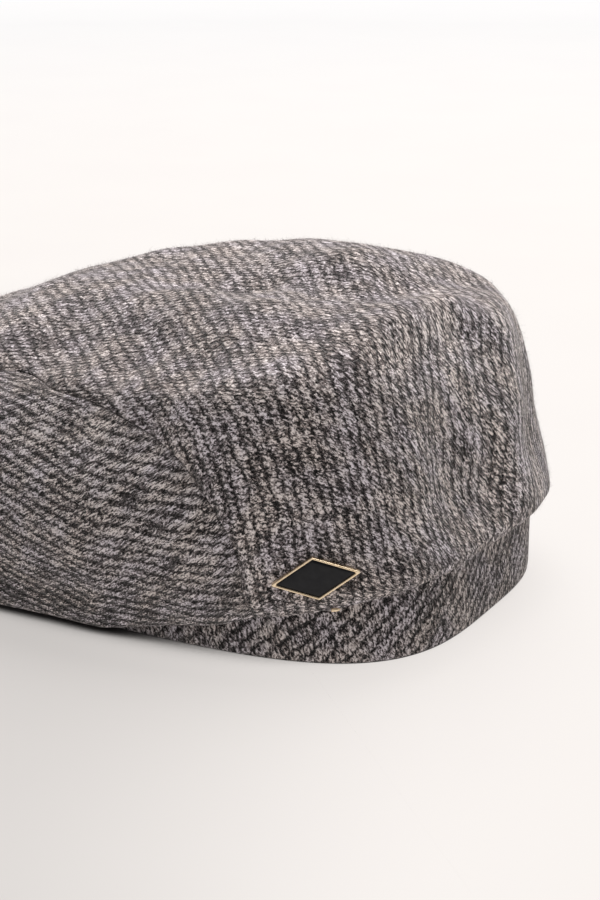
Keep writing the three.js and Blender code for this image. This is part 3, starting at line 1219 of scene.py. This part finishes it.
@dataclass
class HeadBand:
    """The head band, an upright ring of cloth with a soft folded foot, cut on the bias."""

    finish: TwillFinish
    foot: Section = Section(66.1, 91.1, 104, 3.5, 0, 0, 0, 19.4, 1)
    top: Section = Section(66.1, 91.1, 104, 3.5, 0, 31, 25, 40, 0)
    cloth: float = 2.2
    columns: int = 420
    wall_rows: int = 12
    fold_rows: int = 6
    fold_share: float = 0.08
    bias: float = 42.0

    def build(self) -> None:
        """Makes and dresses the band."""
        turns = full_turn(self.columns)
        radius = self.cloth / 2
        shares = np.linspace(1, self.fold_share, self.wall_rows)
        rows = [self.between(turns, 0.0, share) for share in shares]
        for angle in np.linspace(0, math.pi, self.fold_rows)[1:-1]:
            depth = radius * (1 - math.cos(angle))
            rows.append(self.foot.inset(depth, radius * (1 - math.sin(angle))).ring(turns))
        rows += [self.between(turns, self.cloth, share) for share in shares[::-1]]
        grid = np.stack(rows[::-1])
        around = np.linalg.norm(np.roll(grid, -1, 1) - grid, axis=-1)[self.wall_rows]
        along = np.concatenate([[0.0], np.cumsum(around)[:-1]])
        down = run_from_first(grid)
        angle = math.radians(self.bias)
        across = along[None] * math.cos(angle) - down * math.sin(angle)
        run = along[None] * math.sin(angle) + down * math.cos(angle)
        weave = np.stack([across, run], axis=-1).reshape(-1, 2)
        triangles = tube_triangles(len(grid), self.columns, True)
        piece = Piece("band_cloth", grid.reshape(-1, 3), triangles, weave)
        piece.dress(self.finish.material(), ["band"])

    def between(self, turns: Array, depth: float, share: float) -> Array:
        """A ring of the band's wall a share of the way up."""
        low = self.foot.inset(depth).ring(turns)
        return low + (self.top.inset(depth).ring(turns) - low) * share


@dataclass
class Peak:
    """The stiff peak, covered in the same cloth, with a rounded front edge."""

    finish: TwillFinish
    root: Section = Section(66.45, 0, 104.35, 3.5, 0, 0, 0, 19.4, 1)
    edge: Section = Section(70.5, 0, 168, 2.9, 0, 0, 0, 9.6, 1)
    thickness: float = 2.4
    first_turn: float = -155.0
    last_turn: float = -25.0
    columns: int = 160
    rows: int = 24
    edge_rows: int = 6
    wale_lean: Span = (0.94, 0.34)

    def build(self) -> None:
        """Makes and dresses the peak."""
        turns = np.radians(np.linspace(self.first_turn, self.last_turn, self.columns))
        root, edge = self.root.ring(turns), self.edge.ring(turns)
        out = edge - root
        reach = np.linalg.norm(out, axis=-1, keepdims=True)
        half = self.thickness / 2
        radius = np.minimum(half, reach / 3)
        up = np.array([0.0, 0.0, 1.0])
        under = [root + out * (1 - radius / reach) * share for share in np.linspace(0, 1, self.rows)]
        rows = [row + up * self.thickness for row in under]
        for angle in np.linspace(math.pi / 2, -math.pi / 2, self.edge_rows)[1:-1]:
            lip = edge - out / reach * radius * (1 - math.cos(angle))
            rows.append(lip + up * half * (1 + math.sin(angle)))
        rows += under[::-1]
        run = run_from_first(np.stack(rows))[::-1]
        flat = (root[:, :2] + (out / reach)[:, :2] * run[..., None]).reshape(-1, 2)
        grid = np.stack(rows[::-1])
        faces = tube_triangles(len(grid), self.columns, False).tolist()
        numbers = np.arange(len(grid) * self.columns).reshape(len(grid), self.columns)
        faces += [numbers[:, 0].tolist(), numbers[::-1, -1].tolist()]
        x, y = flat.T
        straight, slipped = self.wale_lean
        weave = np.stack([x * straight + y * slipped, y * straight - x * slipped], 1)
        piece = Piece("peak_cloth", grid.reshape(-1, 3), faces, weave)
        piece.dress(self.finish.material(), ["peak"])


@dataclass
class Badge:
    """The lozenge badge: a brass tray, bare black enamel in it, and the tip of its pin."""

    form: CrownForm
    brass: BrassFinish
    enamel: EnamelFinish
    width: float = 25.2
    height: float = 12.6
    level: float = 3.32
    turn: float = 39.8
    roll: float = 9.6
    pin_level: float = 1.8
    pin_turn: float = 40.8
    pin_roll: float = 6.0
    pin_diameter: float = 1.1
    pin_sides: int = 24
    corner: float = 0.35
    corner_steps: int = 5
    tray: tuple[Span, ...] = (
        (0.0, 0.0), (0.0, 1.15), (0.03, 1.29), (0.1, 1.41), (0.2, 1.48), (0.31, 1.5),
        (0.42, 1.48), (0.52, 1.41), (0.59, 1.29), (0.62, 0.5),
    )
    pool: tuple[Span, ...] = (
        (0.65, 0.86), (0.65, 0.98), (0.72, 1.05), (1.0, 1.15), (1.6, 1.27), (2.4, 1.38), (3.4, 1.46),
        (4.6, 1.5),
    )
    pin: tuple[Span, ...] = (
        (-1.3, 0.6), (-1.22, 0.86), (-1.05, 1.0), (0.25, 1.0), (0.7, 0.78), (1.1, 0.42), (1.3, 0.16),
    )

    def outline(self, inset: float) -> Array:
        """A lozenge with rounded corners whose sides lie a distance inside the badge's own.

        Args:
            inset: The distance.

        Returns:
            The outline's points, turning to the left.
        """
        half = np.array([self.width, self.height]) / 2
        side = math.hypot(self.width, self.height)
        share = 1 - (inset + self.corner) * 2 * side / (self.width * self.height)
        slope = math.atan2(self.width, self.height)
        ends = (-slope, slope, math.pi - slope, math.pi + slope, 2 * math.pi - slope)
        loop = []
        for point, start, stop in zip(((1, 0), (0, 1), (-1, 0), (0, -1)), ends[:-1], ends[1:]):
            angles = np.linspace(start, stop, self.corner_steps)
            loop.append(half * point * share + self.corner * np.stack([np.cos(angles), np.sin(angles)], 1))
        return np.concatenate(loop)

    def lofted(self, profile: Sequence[Span]) -> Solid:
        """A lozenge solid whose rings lie as far in and as high as its profile says, from foot to middle."""
        return capped([np.insert(self.outline(inset), 2, z, axis=1) for inset, z in profile])

    def needle(self) -> Solid:
        """The pin's tip along X, with a round back end and a blunt point.

        Returns:
            The points and the faces.
        """
        angles = full_turn(self.pin_sides)
        circle = np.stack([np.cos(angles), np.sin(angles)], 1) * (self.pin_diameter / 2)
        return capped([np.insert(circle * share, 0, x, axis=1) for x, share in self.pin])

    def build(self) -> None:
        """Makes and dresses the badge and its pin."""
        seat = self.form.seat(self.level, self.turn, self.roll, GAP)
        pin_seat = self.form.seat(self.pin_level, self.pin_turn, self.pin_roll, GAP + self.pin_diameter / 2)
        brass, enamel = self.brass.material(), self.enamel.material()
        pieces = (
            ("badge_tray", self.lofted(self.tray), seat, brass, Slot.BRASS, "badge_rim"),
            ("badge_pool", self.lofted(self.pool), seat, enamel, Slot.ENAMEL, "badge_enamel"),
            ("badge_needle", self.needle(), pin_seat, brass, Slot.BRASS, "badge_pin"),
        )
        for name, (points, faces), place, material, slot, node in pieces:
            placed = points @ np.array(place.to_3x3()).T + np.array(place.translation)
            Piece(name, placed, faces, points[:, :2]).dress(material, [node])


@dataclass
class Fuzz:
    """Fine wool fibres that stand off the cloth, and a few long stray ones. Millimetres."""

    form: CrownForm
    finish: FuzzFinish
    name: str = "wool_fuzz"
    seed: int = 5
    first_level: float = 2.0
    short_count: int = 44000
    short_length: Span = (0.8, 2.4)
    short_rise: float = 0.55
    short_steps: int = 2
    stray_count: int = 260
    stray_length: Span = (3.0, 8.0)
    stray_rise: float = 0.3
    stray_steps: int = 5
    width: float = 0.075
    rise_spread: Span = (0.2, 1.6)
    rooted: float = 0.15
    curl: float = 0.48
    droop: float = 0.45
    taper: float = 0.7

    def build(self) -> None:
        """Makes and dresses the fibres as one piece."""
        random = np.random.default_rng(self.seed)
        levels = self.form.levels()
        points, normals = self.form.surface(levels[levels >= self.first_level], self.form.turns())
        around = np.roll(points, -1, 1)[:-1] - points[:-1]
        cells = np.linalg.norm(np.cross(around, points[1:] - points[:-1]), axis=-1)
        chance = (cells / cells.sum()).ravel()
        kinds = (
            (self.short_count, self.short_length, self.short_rise, self.short_steps),
            (self.stray_count, self.stray_length, self.stray_rise, self.stray_steps),
        )
        vertices, faces, tones = [], [], []
        start = 0
        for kind in kinds:
            spots, strips, tone = self.fibres(random, points, normals, chance, *kind)
            vertices.append(spots)
            faces.append(strips + start)
            tones.append(tone)
            start += len(spots)
        tone = np.concatenate(tones)
        piece = Piece(self.name, np.concatenate(vertices), np.concatenate(faces), np.stack([tone, tone], 1))
        piece.dress(self.finish.material(), [])

    def fibres(
        self, random: np.random.Generator, points: Array, normals: Array, chance: Array,
        count: int, length: Span, rise: float, steps: int,
    ) -> tuple[Array, Array, Array]:
        """Grows fibres as thin strips.

        Args:
            random: The source of chance.
            points: The cloth's grid of points.
            normals: The cloth's grid of normals.
            chance: The share of the fibres that grows in each cell.
            count: How many fibres grow.
            length: The shortest and the longest fibre.
            rise: How steeply they stand off the cloth.
            steps: How many straight steps a fibre has.

        Returns:
            The strips' points, their faces and each point's tone.
        """
        columns = points.shape[1]
        cell = random.choice(len(chance), size=count, p=chance)
        row, column = cell // columns, cell % columns
        share = random.uniform(size=(count, 2, 1))
        base = points[row, column] + share[:, 0] * (points[row, (column + 1) % columns] - points[row, column])
        base = base + share[:, 1] * (points[row + 1, column] - points[row, column])
        out = normals[row, column]
        lie = random.normal(size=(count, 3))
        lie = unit(lie - out * (lie * out).sum(1, keepdims=True))
        side = unit(np.cross(lie, out))
        size = random.uniform(*length, size=(count, 1))
        curl = random.normal(size=(count, 1)) * self.curl
        lift = rise * random.uniform(*self.rise_spread, size=(count, 1))
        rows = []
        for step in range(steps + 1):
            far = step / steps
            centre = base - out * self.rooted + lie * size * far + side * curl * size * far**2
            centre = centre + out * size * lift * (far - self.droop * far**2)
            half = self.width / 2 * (1 - self.taper * far)
            rows.append(np.stack([centre - side * half, centre + side * half], axis=1))
        strip = np.stack(rows, axis=1).reshape(count, -1, 3)
        quads = np.arange(steps)[:, None] * 2 + np.array([0, 1, 3, 2])
        faces = (np.arange(count) * strip.shape[1])[:, None, None] + quads[None]
        tone = np.repeat(random.uniform(size=count), strip.shape[1])
        return strip.reshape(-1, 3), faces.reshape(-1, 4), tone


@dataclass
class Studio:
    """A pale table, soft light from above and behind, and the camera."""

    floor: FloorFinish
    floor_half: float = 12000.0
    eye: tuple[float, float, float] = (513.345, 341.599, 231.298)
    look: tuple[float, float, float] = (-0.83434, -0.45502, -0.31117)
    lens: float = 80.0
    sensor: float = 36.0
    clip: Span = (0.01, 50.0)
    sky: float = 0.2
    light_colour: Colour = (1.0, 0.985, 0.97)
    lights: tuple[tuple[str, float, float, float, float, float], ...] = (
        ("key", 0.3, 0.8, 1.5, 1.7, 56.0),
        ("overhead", -0.1, -0.1, 1.6, 2.0, 6.0),
        ("fill", -0.9, -1.3, 1.1, 1.3, 3.0),
    )

    def build(self) -> None:
        """Makes the table, the lights and the camera."""
        square = np.array([(-1.0, -1.0, 0.0), (1.0, -1.0, 0.0), (1.0, 1.0, 0.0), (-1.0, 1.0, 0.0)])
        corners = square * self.floor_half
        table = Piece("table", corners, [(0, 1, 2, 3)], corners[:, :2])
        table.object.data.materials.append(self.floor.material())
        for light in self.lights:
            self.light(*light)
        self.world()
        self.camera()

    def light(self, name: str, aside: float, beyond: float, height: float, size: float, power: float) -> None:
        """Hangs one square soft light that faces the cap.

        Args:
            name: The light's name.
            aside: How far to the right of the cap it hangs, as the camera sees it, in metres.
            beyond: How far behind the cap it hangs, as the camera sees it, in metres.
            height: How high it hangs, in metres.
            size: Its side, in metres.
            power: Its power, in watts.
        """
        ahead = Vector(self.look).to_2d().normalized()
        place = Vector((*(ahead * beyond + Vector((ahead.y, -ahead.x)) * aside), height))
        lamp = bpy.data.lights.new(name, "AREA")
        lamp.size = size
        lamp.energy = power
        lamp.color = self.light_colour
        hung = bpy.data.objects.new(name, lamp)
        hung.location = place
        hung.visible_camera = False
        hung.rotation_euler = (-place).to_track_quat("-Z", "Y").to_euler()
        bpy.context.scene.collection.objects.link(hung)

    def world(self) -> None:
        """Sets the even light of the room."""
        world = bpy.data.worlds.new("room")
        world.use_nodes = True
        back = world.node_tree.nodes["Background"]
        back.inputs["Color"].default_value = (*self.light_colour, 1.0)
        back.inputs["Strength"].default_value = self.sky
        bpy.context.scene.world = world

    def camera(self) -> None:
        """Sets the camera at the photograph's place."""
        data = bpy.data.cameras.new("camera")
        data.lens = self.lens
        data.sensor_width = self.sensor
        data.clip_start, data.clip_end = self.clip
        eye = bpy.data.objects.new("camera", data)
        eye.location = Vector(self.eye) * MM
        eye.rotation_euler = Vector(self.look).to_track_quat("-Z", "Y").to_euler()
        bpy.context.scene.collection.objects.link(eye)
        bpy.context.scene.camera = eye


def main() -> None:
    """Builds every piece of the cap and the studio round it."""
    logging.basicConfig(level=logging.INFO, format="%(name)s: %(message)s")
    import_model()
    bpy.context.scene.view_settings.view_transform = "Standard"
    form = CrownForm()
    twill = TwillFinish("heathered_twill")
    hem_shaded = replace(twill, hem_shade=0.24)
    gusset = replace(
        hem_shaded,
        name="gusset_twill",
        slant=0.8,
        fibre_length=0.5,
        fibre_width=0.55,
        base_tone=0.0,
        rope_share=0.9,
        strand_share=0.5,
        fibre_share=0.95,
        wisp_share=1.0,
        patch_share=0.6,
    )
    CrownPanels(form, hem_shaded, gusset).build()
    HeadBand(replace(twill, name="bias_twill", shade=0.8)).build()
    Peak(replace(twill, name="peak_twill")).build()
    Badge(form, BrassFinish(), EnamelFinish()).build()
    Fuzz(form, FuzzFinish()).build()
    # Painted light: the haze fibres are real loose wool, but their paler tones stand in for the glow of
    # backlit fuzz along the edges.
    backlit_glow_fuzz = FuzzFinish("wool_fuzz_painted_glow", ((0.0, (0.24, 0.215, 0.215)), (1.0, (0.84, 0.77, 0.77))))
    haze = Fuzz(
        form,
        backlit_glow_fuzz,
        name="wool_haze",
        seed=9,
        short_count=26000,
        short_length=(1.0, 2.8),
        short_rise=0.9,
        stray_count=40,
        stray_length=(3.0, 6.0),
        width=0.05,
    )
    haze.build()
    Studio(FloorFinish()).build()


if __name__ == "__main__":
    main()
